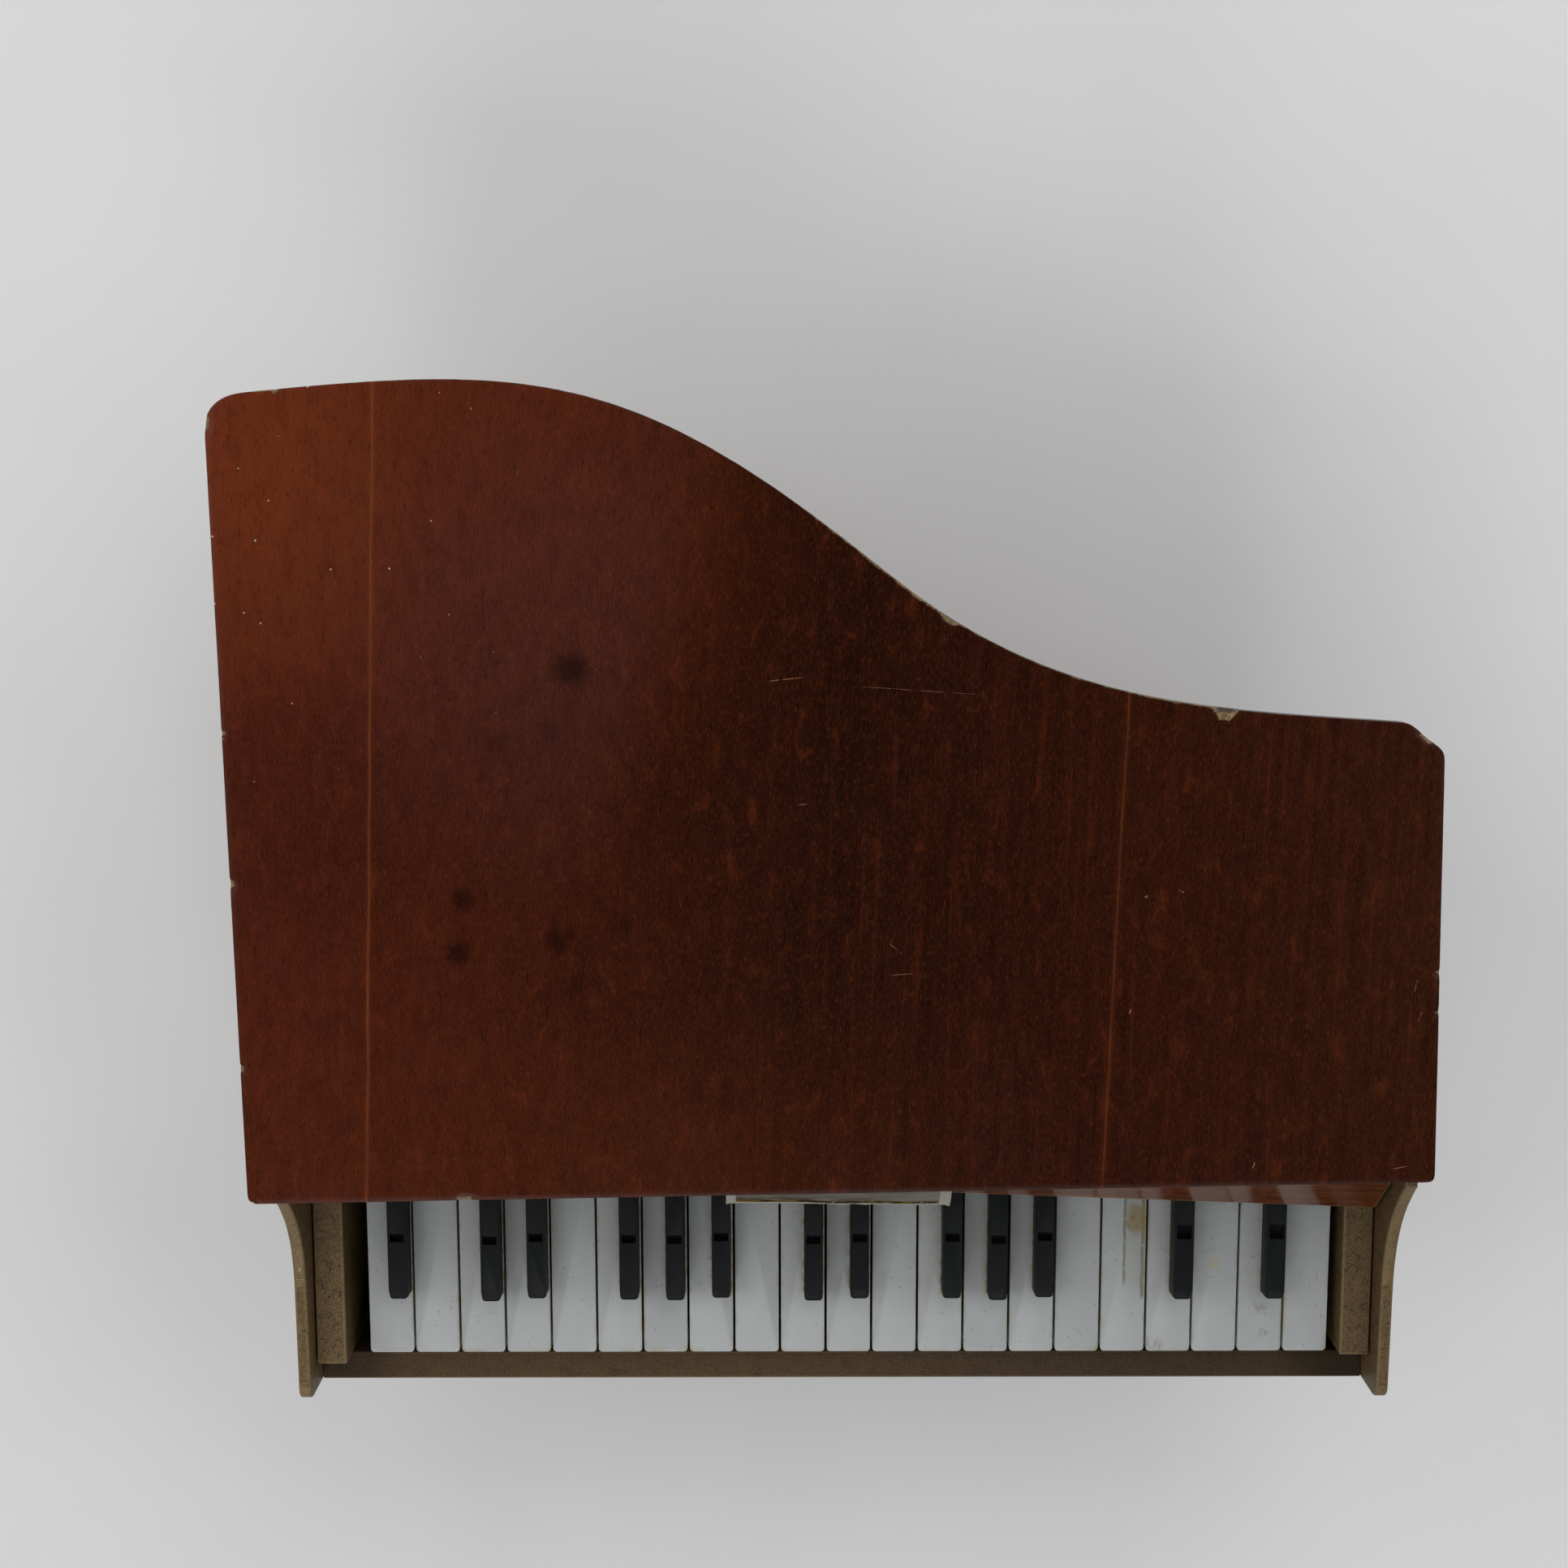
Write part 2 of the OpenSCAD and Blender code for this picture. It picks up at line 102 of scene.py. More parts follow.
# ---------------------------------------------------------------- material tools
class Mat:
    """Small node builder round one Principled shader; positions are in mm in case coordinates."""

    def __init__(self, name, **fixed):
        self.m = bpy.data.materials.new(name)
        self.m.use_nodes = True
        self.t = self.m.node_tree
        self.t.nodes.clear()
        self.b = self.node("ShaderNodeBsdfPrincipled")
        out = self.node("ShaderNodeOutputMaterial")
        self.t.links.new(self.b.outputs[0], out.inputs[0])
        co = self.node("ShaderNodeTexCoord").outputs["Object"]
        self.p = self.vec("MULTIPLY_ADD", co, (1000, 1000, 1000), (-OX, -OY, 0))
        self.x, self.y, self.z = self.split(self.p)
        self.set(**fixed)

    def node(self, kind, **attrs):
        n = self.t.nodes.new(kind)
        for k, v in attrs.items():
            setattr(n, k, v)
        return n

    def put(self, socket, v):
        if isinstance(v, bpy.types.NodeSocket):
            self.t.links.new(v, socket)
        elif v is not None:
            if socket.type == "RGBA" and len(v) == 3:
                v = (*v, 1)
            socket.default_value = v

    def set(self, **kw):
        for k, v in kw.items():
            self.put(self.b.inputs[k.replace("_", " ")], v)

    def vec(self, op, a, b=None, c=None):
        n = self.node("ShaderNodeVectorMath", operation=op)
        for s, v in zip(n.inputs, (a, b, c)):
            self.put(s, v)
        return n.outputs["Value"] if op in ("LENGTH", "DISTANCE") else n.outputs[0]

    def split(self, v):
        n = self.node("ShaderNodeSeparateXYZ")
        self.put(n.inputs[0], v)
        return n.outputs

    def math(self, op, a, b=None, c=None, clamp=False):
        n = self.node("ShaderNodeMath", operation=op, use_clamp=clamp)
        for s, v in zip(n.inputs, (a, b, c)):
            self.put(s, v)
        return n.outputs[0]

    def mul(self, *v):
        r = v[0]
        for o in v[1:]:
            r = self.math("MULTIPLY", r, o)
        return r

    def add(self, *v):
        r = v[0]
        for o in v[1:]:
            r = self.math("ADD", r, o)
        return r

    def step(self, v, lo, hi, smooth=True):
        """0 below lo, 1 above hi; falls when hi < lo."""
        n = self.node("ShaderNodeMapRange", clamp=True)
        n.interpolation_type = "SMOOTHSTEP" if smooth else "LINEAR"
        a, b = (0, 1) if hi > lo else (1, 0)
        for s, x in zip(n.inputs, (v, min(lo, hi), max(lo, hi), a, b)):
            self.put(s, x)
        return n.outputs[0]

    def mapped(self, scale=(1, 1, 1), rot=(0, 0, 0), loc=(0, 0, 0), src=None):
        n = self.node("ShaderNodeMapping")
        self.put(n.inputs["Vector"], src or self.p)
        n.inputs["Scale"].default_value = scale
        n.inputs["Rotation"].default_value = rot
        n.inputs["Location"].default_value = loc
        return n.outputs[0]

    def noise(self, scale=(1, 1, 1), detail=3, rough=0.5, warp=0, loc=(0, 0, 0), src=None):
        """Noise whose features are about 1/scale mm long on each axis."""
        if isinstance(scale, (int, float)):
            scale = (scale,) * 3
        n = self.node("ShaderNodeTexNoise")
        self.put(n.inputs["Vector"], self.mapped(scale, (0, 0, 0), loc, src))
        n.inputs["Scale"].default_value = 1
        n.inputs["Detail"].default_value = detail
        n.inputs["Roughness"].default_value = rough
        n.inputs["Distortion"].default_value = warp
        return n.outputs[0]

    def cells(self, scale, feature="F1", src=None, loc=(0, 0, 0)):
        if isinstance(scale, (int, float)):
            scale = (scale,) * 3
        n = self.node("ShaderNodeTexVoronoi", feature=feature)
        self.put(n.inputs["Vector"], self.mapped(scale, (0, 0, 0), loc, src))
        n.inputs["Scale"].default_value = 1
        return n.outputs

    def ramp(self, v, *stops):
        n = self.node("ShaderNodeValToRGB")
        e = n.color_ramp.elements
        while len(e) < len(stops):
            e.new(0.5)
        for el, (pos, col) in zip(e, stops):
            el.position = pos
            el.color = (*col, 1)
        self.put(n.inputs[0], v)
        return n.outputs[0]

    def mix(self, f, a, b, mode="MIX"):
        n = self.node("ShaderNodeMix", data_type="RGBA", blend_type=mode)
        for i, v in ((0, f), (6, a), (7, b)):
            self.put(n.inputs[i], v)
        return n.outputs[2]

    def bump(self, h, depth, strength=1.0, after=None):
        """Height field h of 0..1 as a bump of depth mm."""
        n = self.node("ShaderNodeBump")
        n.inputs["Strength"].default_value = strength
        n.inputs["Distance"].default_value = depth * MM
        self.put(n.inputs["Height"], h)
        if after is not None:
            self.put(n.inputs["Normal"], after)
        self.put(self.b.inputs["Normal"], n.outputs[0])
        return n.outputs[0]

    def wobble(self, scale, reach=2.0):
        """Vector noise within reach mm either way, for bending other patterns."""
        n = self.node("ShaderNodeTexNoise")
        self.put(n.inputs["Vector"], self.mapped((scale,) * 3))
        n.inputs["Scale"].default_value = 1
        n.inputs["Detail"].default_value = 2
        return self.vec("MULTIPLY_ADD", n.outputs["Color"], (2 * reach,) * 3, (-reach,) * 3)

    def combine(self, x, y, z=0.0):
        n = self.node("ShaderNodeCombineXYZ")
        for s, v in zip(n.inputs, (x, y, z)):
            self.put(s, v)
        return n.outputs[0]

    def dim(self, f, base, k):
        """base darkened to k times itself where f is 1."""
        return self.mix(f, base, k if isinstance(k, tuple) else (k, k, k), "MULTIPLY")

    def blob(self, src, x, y, r, ragged=0.0, core=0.35):
        """1 at x, y, fading to 0 at r mm."""
        d = self.vec("DISTANCE", self.vec("MULTIPLY", src, (1, 1, 0)), (x, y, 0))
        if ragged:
            d = self.math("MULTIPLY_ADD", self.noise(0.5, 3, 0.6, src=src), 2 * ragged, self.add(d, -ragged))
        return self.step(d, r, r * core)

    def most(self, *v):
        r = v[0]
        for o in v[1:]:
            r = self.math("MAXIMUM", r, o)
        return r

    def attr(self, name):
        return self.node("ShaderNodeAttribute", attribute_name=name).outputs["Fac"]

    def line(self, x, y, length, angle, width, src=None):
        """Thin straight mark centred at x, y in mm, at an angle in degrees."""
        q = self.split(self.mapped((1, 1, 1), (0, 0, math.radians(-angle)), (0, 0, 0),
                                   self.vec("SUBTRACT", src or self.p, (x, y, 0))))
        along = self.step(self.math("ABSOLUTE", q[0]), length / 2, length / 2 * 0.6)
        across = self.step(self.math("ABSOLUTE", q[1]), width, width * 0.3)
        return self.mul(along, across)


def srgb(r, g, b):
    """Display colour 0..255 to linear."""
    return tuple((c / 255 / 12.92) if c / 255 <= 0.04045 else ((c / 255 + 0.055) / 1.055) ** 2.4
                 for c in (r, g, b))


# ---------------------------------------------------------------- materials
def lid_veneer():
    """Varnished red-brown veneer: strips, figure, pores, spots, scratches, dust, rubbed edges and a painted
    reflection.
    """
    m = Mat("lid_veneer", IOR=1.5)
    origin = m.vec("SUBTRACT", m.p, VENEER_AT)
    local = m.mapped((1, 1, 1), (0, 0, -SKEW), (0, 0, 0), origin)
    grain = m.mapped((1, 1, 1), (0, 0, GRAIN), (0, 0, 0), origin)
    x, y, _ = m.split(local)
    gx, _, _ = m.split(grain)
    # red at the bass side, orange brown in the middle, dark towards the treble
    across = m.step(m.math("MULTIPLY_ADD", m.noise(0.03, 2, src=grain), 24, m.add(gx, -12)), -118, 118,
                    smooth=False)
    base = m.ramp(across, (0.0, srgb(81, 33, 19)), (0.12, srgb(73, 29, 15)),
                  (0.3, srgb(58, 23, 10)),
                  (0.48, srgb(42, 16, 6)), (0.75, srgb(51, 20, 8)), (1.0, srgb(54, 25, 12)))
    rear = m.mul(m.step(y, 80, 140),
                 m.math("MULTIPLY_ADD", m.step(x, -70, -104), 0.5, m.mul(m.step(x, 10, -60), 0.5)))
    base = m.mix(m.mul(rear, 0.7), base, srgb(116, 51, 25))
    front = m.mul(m.step(y, 46, 4), m.step(x, 60, -40))
    base = m.mix(m.mul(front, 0.45), base, srgb(80, 35, 15))
    base = m.dim(m.mul(m.blob(local, -104, 78, 34), 0.5), base, (0.62, 0.6, 0.66))
    # painted reflection: a cooler patch of reflected light that ends along a slanting line; past the line the
    # lid is painted a little darker
    slant = m.math("MULTIPLY_ADD", y, -0.31, m.add(x, 62.4))
    painted_reflection_veil = m.mul(m.step(slant, 5, -14), m.blob(local, -50, 112, 62, core=0.2))
    base = m.mix(m.mul(painted_reflection_veil, 0.45), base, srgb(74, 37, 31))
    base = m.dim(m.mul(m.step(slant, -2, 8), m.step(x, 40, -10), m.step(y, 45, 80), 0.3), base, 0.6)
    # figure: soft clouds, then streaks at the treble side
    figure = m.noise((0.34, 0.15, 0.34), 5, 0.62, 0.7, src=grain)
    base = m.dim(m.mul(m.step(figure, 0.56, 0.30), 0.5), base, (0.6, 0.55, 0.55))
    base = m.mix(m.mul(m.step(figure, 0.52, 0.78), 0.3), base, srgb(112, 50, 22))
    streak = m.noise((0.75, 0.02, 0.75), 4, 0.6, 0.1, src=grain)
    right = m.math("MULTIPLY_ADD", m.step(gx, -40, 10), 0.5, 0.12)
    base = m.dim(m.mul(m.step(streak, 0.52, 0.30), right), base, 0.58)
    base = m.mix(m.mul(m.step(streak, 0.56, 0.74), right, 0.3), base, srgb(104, 44, 18))
    # grain: fine flecks and short dark pores
    fleck = m.noise((3.2, 0.9, 3.2), 3, 0.7, src=grain)
    base = m.mix(m.mul(m.step(fleck, 0.50, 0.74), 0.28), base, srgb(124, 58, 26))
    base = m.dim(m.mul(m.step(fleck, 0.50, 0.28), 0.5), base, 0.5)
    pore = m.step(m.noise((4.6, 0.5, 4.6), 2, 0.5, loc=(3, 9, 1), src=grain), 0.60, 0.70)
    base = m.dim(m.mul(pore, 0.7), base, 0.35)
    # two veneer joints, each pale and uneven
    seams = None
    for sx, pale in ((-93.35, 1.5), (52.0, 0.85)):
        wob = m.math("MULTIPLY_ADD", m.noise((0.02, 0.06, 0.02), 2, src=grain), 0.7, -0.35)
        d = m.math("ABSOLUTE", m.add(gx, -sx, wob))
        part = m.math("MULTIPLY_ADD", m.noise((0.2, 0.07, 0.2), 3, 0.6, src=grain), 1.3, -0.1, clamp=True)
        s = m.mul(m.add(m.mul(m.step(d, 0.34, 0.05), part, 0.6), m.mul(m.step(d, 1.1, 0.1), 0.10)), pale)
        seams = s if seams is None else m.add(seams, s)
    base = m.mix(m.mul(seams, 0.75), base, srgb(128, 66, 35))
    # soft dark spots where something stood or dripped
    for sx, sy, r, k in ((-49.4, 104.1, 5.2, .85), (-72.1, 59.9, 3.8, .7), (-73.3, 49.1, 4.0, .85),
                         (-53.5, 51.6, 4.2, .7), (-41.5, 54.1, 3.2, .4), (-51.4, 41.7, 3.2, .35),
                         (-64.3, 90.3, 3, .4), (-55, 91.7, 4.5, .3)):
        base = m.dim(m.mul(m.blob(local, sx, sy, r, 1.6, 0.15), k), base, 0.28)
    # hair scratches and pale nicks
    marks = m.most(*[m.line(sx, sy, ln, an, w, src=local) for sx, sy, ln, an, w in (
        (-8, 101.5, 9, 5, .10), (17, 98.8, 27, -5, .045), (12, 48.3, 4.2, -40, .08), (13, 43.3, 5, 3, .08),
        (-5.6, 77.2, 2, 5, .10), (113.2, 39, 3, 80, .07), (114.2, 33, 2.4, 70, .07),
        (110.9, 2.4, 3.2, 10, .09), (60.5, 57.8, 0.9, 40, .25), (67.3, 58.8, 1.3, -30, .25),
        (57.5, 35, 1.2, 70, .2), (82, 3.4, 1.5, 70, .16))])
    base = m.mix(m.mul(marks, m.step(m.noise(0.9, 2, src=local), 0.34, 0.55), 0.8), base, srgb(158, 108, 80))
    # dust, mostly in the rear bass corner
    cell = m.cells(0.36, src=local)
    pick = m.step(m.split(cell["Color"])[0], 0.80, 0.86)
    dust = m.mul(m.step(cell["Distance"], 0.085, 0.045), pick)
    where = m.add(m.mul(m.step(x, -50, -95), m.step(y, 70, 120)), 0.05)
    base = m.mix(m.mul(dust, where, 0.8), base, srgb(200, 190, 176))
    # rubbed rim, with the pale board showing through the stain
    wear = m.attr("wear")
    rub = m.noise(0.55, 4, 0.6, src=local)
    worn = m.step(m.math("MULTIPLY_ADD", rub, 0.55, wear), 0.98, 1.22)
    core = m.ramp(m.noise((1.5, 1.5, 6), 4, 0.6), (0.3, srgb(74, 54, 34)), (0.7, srgb(158, 136, 100)))
    base = m.mix(worn, base, core)
    up = m.split(m.node("ShaderNodeNewGeometry").outputs["Normal"])[2]
    edge = m.mul(m.step(m.math("ABSOLUTE", up), 0.5, 0.2), 0.8)
    base = m.mix(edge, base, m.ramp(m.noise((0.8, 0.8, 9), 4, 0.6),
                                    (0.35, srgb(48, 32, 20)), (0.7, srgb(104, 82, 54))))
    under = m.step(up, -0.5, -0.9)
    base = m.mix(under, base, m.ramp(m.noise(0.5, 4, 0.6),
                                     (0.35, srgb(104, 78, 50)), (0.7, srgb(138, 108, 74))))
    m.set(Base_Color=base)
    haze = m.noise((0.08, 0.05, 0.08), 4, 0.6, src=local)
    rough = m.add(m.math("MULTIPLY_ADD", haze, 0.14, 0.15), m.mul(marks, 0.2), m.mul(worn, 0.35),
                  m.mul(under, 0.4))
    m.set(Roughness=rough, Specular_IOR_Level=m.math("MULTIPLY_ADD", painted_reflection_veil, 0.12, 0.13))
    h = m.add(m.mul(m.math("SUBTRACT", 1.0, pore), 0.5), m.mul(fleck, 0.3), m.mul(marks, -0.6))
    n = m.bump(h, 0.02, 0.5)
    m.bump(m.noise((0.12, 0.05, 0.1), 2, src=local), 0.12, 0.35, n)
    return m.m


def painted_board(name, light, dark, gold, rough=0.48, edge=0.5, scale=1.0, fibres=1.0, shade=None):
    """Hardboard under thin bronze-brown paint: specks, felted fibres and rubbed edges."""
    m = Mat(name, IOR=1.46)
    spec = m.noise(2.6 * scale, 5, 0.78)
    base = m.ramp(spec, (0.30, dark), (0.50, light), (0.70, gold))
    base = m.dim(m.mul(m.step(m.noise(0.3, 4, 0.65, loc=(4, 4, 4)), 0.48, 0.70), 0.5), base, 0.55)
    # thin dark fibres: bent cell borders, broken up
    bent = m.vec("ADD", m.p, m.wobble(0.35))
    fibre = m.step(m.cells((0.62, 0.5, 0.6), "DISTANCE_TO_EDGE", src=bent)["Distance"], 0.05, 0.01)
    fibre = m.mul(fibre, m.step(m.noise(0.5, 2, loc=(1, 8, 2)), 0.44, 0.56))
    base = m.dim(m.mul(fibre, 0.8 * fibres), base, 0.22)
    fleck = m.cells(1.3, loc=(5, 2, 7))
    fleck = m.mul(m.step(fleck["Distance"], 0.20, 0.12), m.step(m.split(fleck["Color"])[1], 0.82, 0.88))
    base = m.dim(m.mul(fleck, 0.7), base, 0.3)
    wear = m.attr("wear")
    rub = m.step(m.math("MULTIPLY_ADD", m.noise(0.7, 4, 0.65), 0.7, wear), 1.0, 1.3)
    base = m.mix(m.mul(rub, edge), base, srgb(158, 136, 100))
    # shade adds painted shade to the colour, and for the arms a nick and hair lines
    if shade is not None:
        base = shade(m, base)
    m.set(Base_Color=base, Metallic=0.1, Specular_IOR_Level=0.2)
    m.set(Roughness=m.math("MULTIPLY_ADD", spec, 0.25, rough - 0.12))
    m.bump(m.add(m.mul(spec, 0.6), m.mul(fibre, -0.5)), 0.06, 0.6)
    return m.m


def slip_darkening_and_painted_shade(m, base):
    """The slip is darker towards the treble, and painted shade darkens it close to the arms, under the key
    blocks.
    """
    base = m.dim(m.mul(m.step(m.x, -30, 70), 0.75), base, 0.5)
    # painted shade at both ends, where the key blocks and arms shade the slip
    ends = m.most(m.step(m.x, -92, -103), m.step(m.x, 92, 103))
    return m.dim(m.mul(ends, 0.8), base, 0.45)


def arm_marks_and_painted_shade(m, base):
    """A nick and two hair lines on the bass arm, and painted shade darkening the treble side."""
    # painted shade: the treble side is darker
    base = m.dim(m.mul(m.step(m.x, 60, 110), 0.6), base, 0.72)
    top = m.step(m.z, 86, 88)
    dark = m.most(m.line(-112.7, 27.5, 2.6, -5, 0.08), m.line(-113.0, 33.4, 1.8, -6, 0.05),
                  m.line(-112.9, 32.7, 1.4, 5, 0.05))
    base = m.dim(m.mul(dark, top, 0.8), base, 0.4)
    nick = m.most(m.line(-112.7, 29.4, 0.7, 65, 0.30), m.mul(m.line(-112.7, 27.2, 2.2, -5, 0.07), 0.6))
    return m.mix(m.mul(nick, top, 0.75), base, srgb(196, 182, 150))


def white_plastic(name, kind, seed=0):
    """Aged white moulding; kind is plain, black (a black key is glued on) or lost (it fell off)."""
    m = Mat(name, IOR=1.49)
    base = m.ramp(m.noise((0.12, 0.05, 0.1), 3, loc=(seed, 0, 0)),
                  (0.3, srgb(165, 168, 168)), (0.7, srgb(174, 177, 177)))
    # position across one key, 0 at its bass edge
    u = m.math("FLOORED_MODULO", m.add(m.x, -KEY_X0), PITCH)
    yellow = srgb(158, 142, 92)
    y = m.y
    # yellowing towards the front edge and along the key's sides
    rim = m.add(m.step(u, 0.9, 0.0), m.step(u, KEY_W - 0.9, KEY_W), m.step(y, KEY_FRONT + 1.4, KEY_FRONT))
    base = m.mix(m.mul(rim, m.step(m.noise(0.22, 3, loc=(2, seed, 0)), 0.42, 0.7), 0.55), base,
                 srgb(150, 140, 104))
    if kind != "plain":
        bx0 = KEY_W - 0.5 - BLACK_W
        dx = m.math("MAXIMUM", m.math("SUBTRACT", bx0, u), 0.0)
        dy = m.math("MAXIMUM", m.math("SUBTRACT", BLACK_FRONT, y), 0.0)
        d = m.math("SQRT", m.add(m.mul(dx, dx), m.mul(dy, dy)))
        blot = m.noise(0.45, 3, 0.6, loc=(0, seed, 3))
        if kind == "black":
            halo = m.mul(m.step(d, 1.5, 0.0), m.step(blot, 0.36, 0.62))
            base = m.mix(m.mul(halo, 0.6), base, yellow)
            line = m.mul(m.step(d, 0.35, 0.05), m.step(blot, 0.46, 0.6))
            base = m.mix(m.mul(line, 0.4), base, srgb(112, 92, 56))
        else:
            # two glue lines along the lost key's edges, a stain and a paler patch between them
            wob = m.math("MULTIPLY_ADD", m.noise((0.5, 0.35, 0.5), 3), 0.5, -0.25)
            left = m.mul(m.step(m.math("ABSOLUTE", m.add(u, -bx0 + 0.1, wob)), 0.42, 0.14),
                         m.step(y, 21.5, 23.5))
            right = m.mul(m.step(m.math("ABSOLUTE", m.add(u, -KEY_W + 0.65, wob)), 0.54, 0.18),
                          m.step(y, 18.6, 20.0))
            old = m.mul(m.most(left, right), m.step(m.noise(0.8, 3), 0.26, 0.44))
            base = m.mix(m.mul(old, 0.8), base, srgb(108, 110, 86))
            base = m.mix(m.mul(right, m.step(m.noise(0.35, 2, loc=(1, 1, 1)), 0.45, 0.6), 0.5), base,
                         srgb(150, 124, 60))
            spot = m.vec("DISTANCE", m.combine(u, m.mul(y, 0.72)), (KEY_W - 2.1, 36.6 * 0.72, 0))
            spot = m.step(m.math("MULTIPLY_ADD", m.noise(0.55, 3, 0.6), 4.0, m.add(spot, -2.0)), 3.3, 1.2)
            spot = m.mul(spot, m.step(u, bx0 - 0.2, bx0 + 0.4))
            base = m.mix(m.mul(spot, 0.75), base, srgb(146, 118, 58))
            base = m.mix(m.mul(spot, m.step(m.noise(1.1, 3), 0.5, 0.62), 0.5), base, srgb(112, 82, 36))
            inner = m.mul(m.step(u, bx0, bx0 + 0.4), m.step(u, KEY_W - 0.5, KEY_W - 0.9), m.step(y, 20, 24))
            base = m.mix(m.mul(inner, 0.25), base, srgb(132, 134, 118))
    # finger smudges, heavier at the treble end
    smear = m.noise((0.28, 0.5, 0.3), 4, 0.65, 0.8, loc=(seed * 3, 5, 0))
    heavy = m.math("MULTIPLY_ADD", m.step(m.x, 20, 100), 0.22, 0.10)
    base = m.mix(m.mul(m.step(smear, 0.60, 0.72), heavy), base, srgb(120, 114, 92))
    grime = m.cells(0.5, loc=(seed, 2, 2))
    grime = m.mul(m.step(grime["Distance"], 0.13, 0.06), m.step(m.split(grime["Color"])[2], 0.87, 0.92))
    base = m.mix(m.mul(grime, 0.5), base, srgb(70, 62, 52))
    # marks on single keys: yellow spot, thumb smears, short scratches
    base = m.mix(m.mul(m.blob(m.p, 78.8, 26.8, 1.6, 0.8), 0.45), base, srgb(168, 156, 96))
    smears = m.most(m.mul(m.blob(m.p, 66.5, 8.8, 2.6, 1.2), 0.8), m.blob(m.p, 89.3, 11.6, 1.6, 1.0),
                    m.mul(m.blob(m.p, 88.5, 17.3, 2.2, 1.2), 0.6),
                    m.mul(m.blob(m.p, 88.8, 21.5, 2.2, 1.2), 0.35))
    base = m.mix(m.mul(smears, m.step(m.noise((1.4, 0.5, 1), 3, 0.6), 0.40, 0.62), 0.6), base,
                 srgb(112, 98, 84))
    marks = m.most(m.line(50.4, 11.6, 2.6, -58, 0.12), m.line(100.4, 23.6, 1.8, 84, 0.14),
                   m.line(64.5, 8.5, 2.4, 40, 0.10))
    base = m.mix(m.mul(marks, 0.5), base, srgb(108, 92, 72))
    crack = m.most(m.line(-75.8, 15.9, 6.6, 8, 0.06), m.line(-77.5, 15.2, 3.0, 3, 0.05))
    base = m.mix(m.mul(crack, 0.5), base, srgb(96, 92, 86))
    m.set(Base_Color=base, Specular_IOR_Level=0.5)
    m.set(Roughness=m.math("MULTIPLY_ADD", m.noise(0.3, 4, 0.6), 0.22, 0.2))
    m.bump(m.add(m.mul(m.noise(1.2, 3), 0.6), m.mul(crack, -0.5)), 0.02, 0.4)
    return m.m


def black_plastic():
    """Satin black moulding, rubbed a little lighter on its edges, with painted shade darkening the floor of
    its recess.
    """
    m = Mat("black_plastic", IOR=1.49)
    base = m.ramp(m.noise((0.5, 0.14, 0.5), 4, 0.6), (0.3, srgb(15, 17, 18)), (0.7, srgb(23, 25, 26)))
    wear = m.attr("wear")
    rub = m.step(m.math("MULTIPLY_ADD", m.noise(0.9, 4, 0.6), 0.6, wear), 1.0, 1.35)
    base = m.mix(m.mul(rub, 0.4), base, srgb(58, 61, 63))
    speck = m.cells(0.9)
    speck = m.mul(m.step(speck["Distance"], 0.12, 0.06), m.step(m.split(speck["Color"])[0], 0.9, 0.94))
    base = m.mix(m.mul(speck, 0.4), base, srgb(130, 126, 118))
    # painted shade: the up-facing floor of the recess is coloured darker than the moulding
    deep = m.step(m.z, WHITE_Z + 5.35, WHITE_Z + 4.8)
    top = m.mul(deep, m.step(m.split(m.node("ShaderNodeNewGeometry").outputs["Normal"])[2], 0.5, 0.9))
    base = m.mix(top, base, srgb(10, 11, 12))
    line = m.step(m.z, WHITE_Z + 0.5, WHITE_Z + 0.05)
    base = m.mix(m.mul(line, m.step(m.noise(0.6, 3), 0.42, 0.6), 0.7), base, srgb(120, 92, 48))
    m.set(Base_Color=base, Specular_IOR_Level=m.math("MULTIPLY_ADD", top, -0.07, 0.13))
    m.set(Roughness=m.math("MULTIPLY_ADD", m.noise((0.8, 0.3, 0.8), 3), 0.25, 0.36))
    m.bump(m.noise((3, 0.4, 3), 3), 0.015, 0.5)
    return m.m


def lacquer(name, a, b, rough=0.08, grain_axis="x"):
    """Glossy stained board with grain lines and fine rubbed scratches along its length."""
    m = Mat(name, IOR=1.5, Specular_IOR_Level=0.62, Specular_Tint=(1.0, 0.76, 0.52, 1))
    s = (0.03, 1.3, 1.3) if grain_axis == "x" else (1.3, 1.3, 0.03)
    g = m.noise(s, 5, 0.62, 0.2)
    base = m.ramp(g, (0.3, a), (0.68, b))
    f = (0.05, 7, 7) if grain_axis == "x" else (7, 7, 0.05)
    hair = m.step(m.noise(f, 3, 0.6, loc=(2, 2, 2)), 0.60, 0.7)
    base = m.mix(m.mul(hair, 0.35), base, srgb(150, 96, 74))
    base = m.mix(m.mul(m.step(m.noise(0.06, 3), 0.45, 0.7), 0.4), base, a)
    wear = m.attr("wear")
    rub = m.step(m.math("MULTIPLY_ADD", m.noise(0.8, 4, 0.6), 0.6, wear), 1.05, 1.3)
    base = m.mix(m.mul(rub, 0.7), base, srgb(142, 104, 70))
    m.set(Base_Color=base)
    m.set(Roughness=m.add(m.math("MULTIPLY_ADD", m.noise(0.25, 3), 0.12, rough), m.mul(hair, 0.12)))
    m.bump(m.add(m.mul(g, 0.5), m.mul(hair, 0.5)), 0.012, 0.5)
    return m.m


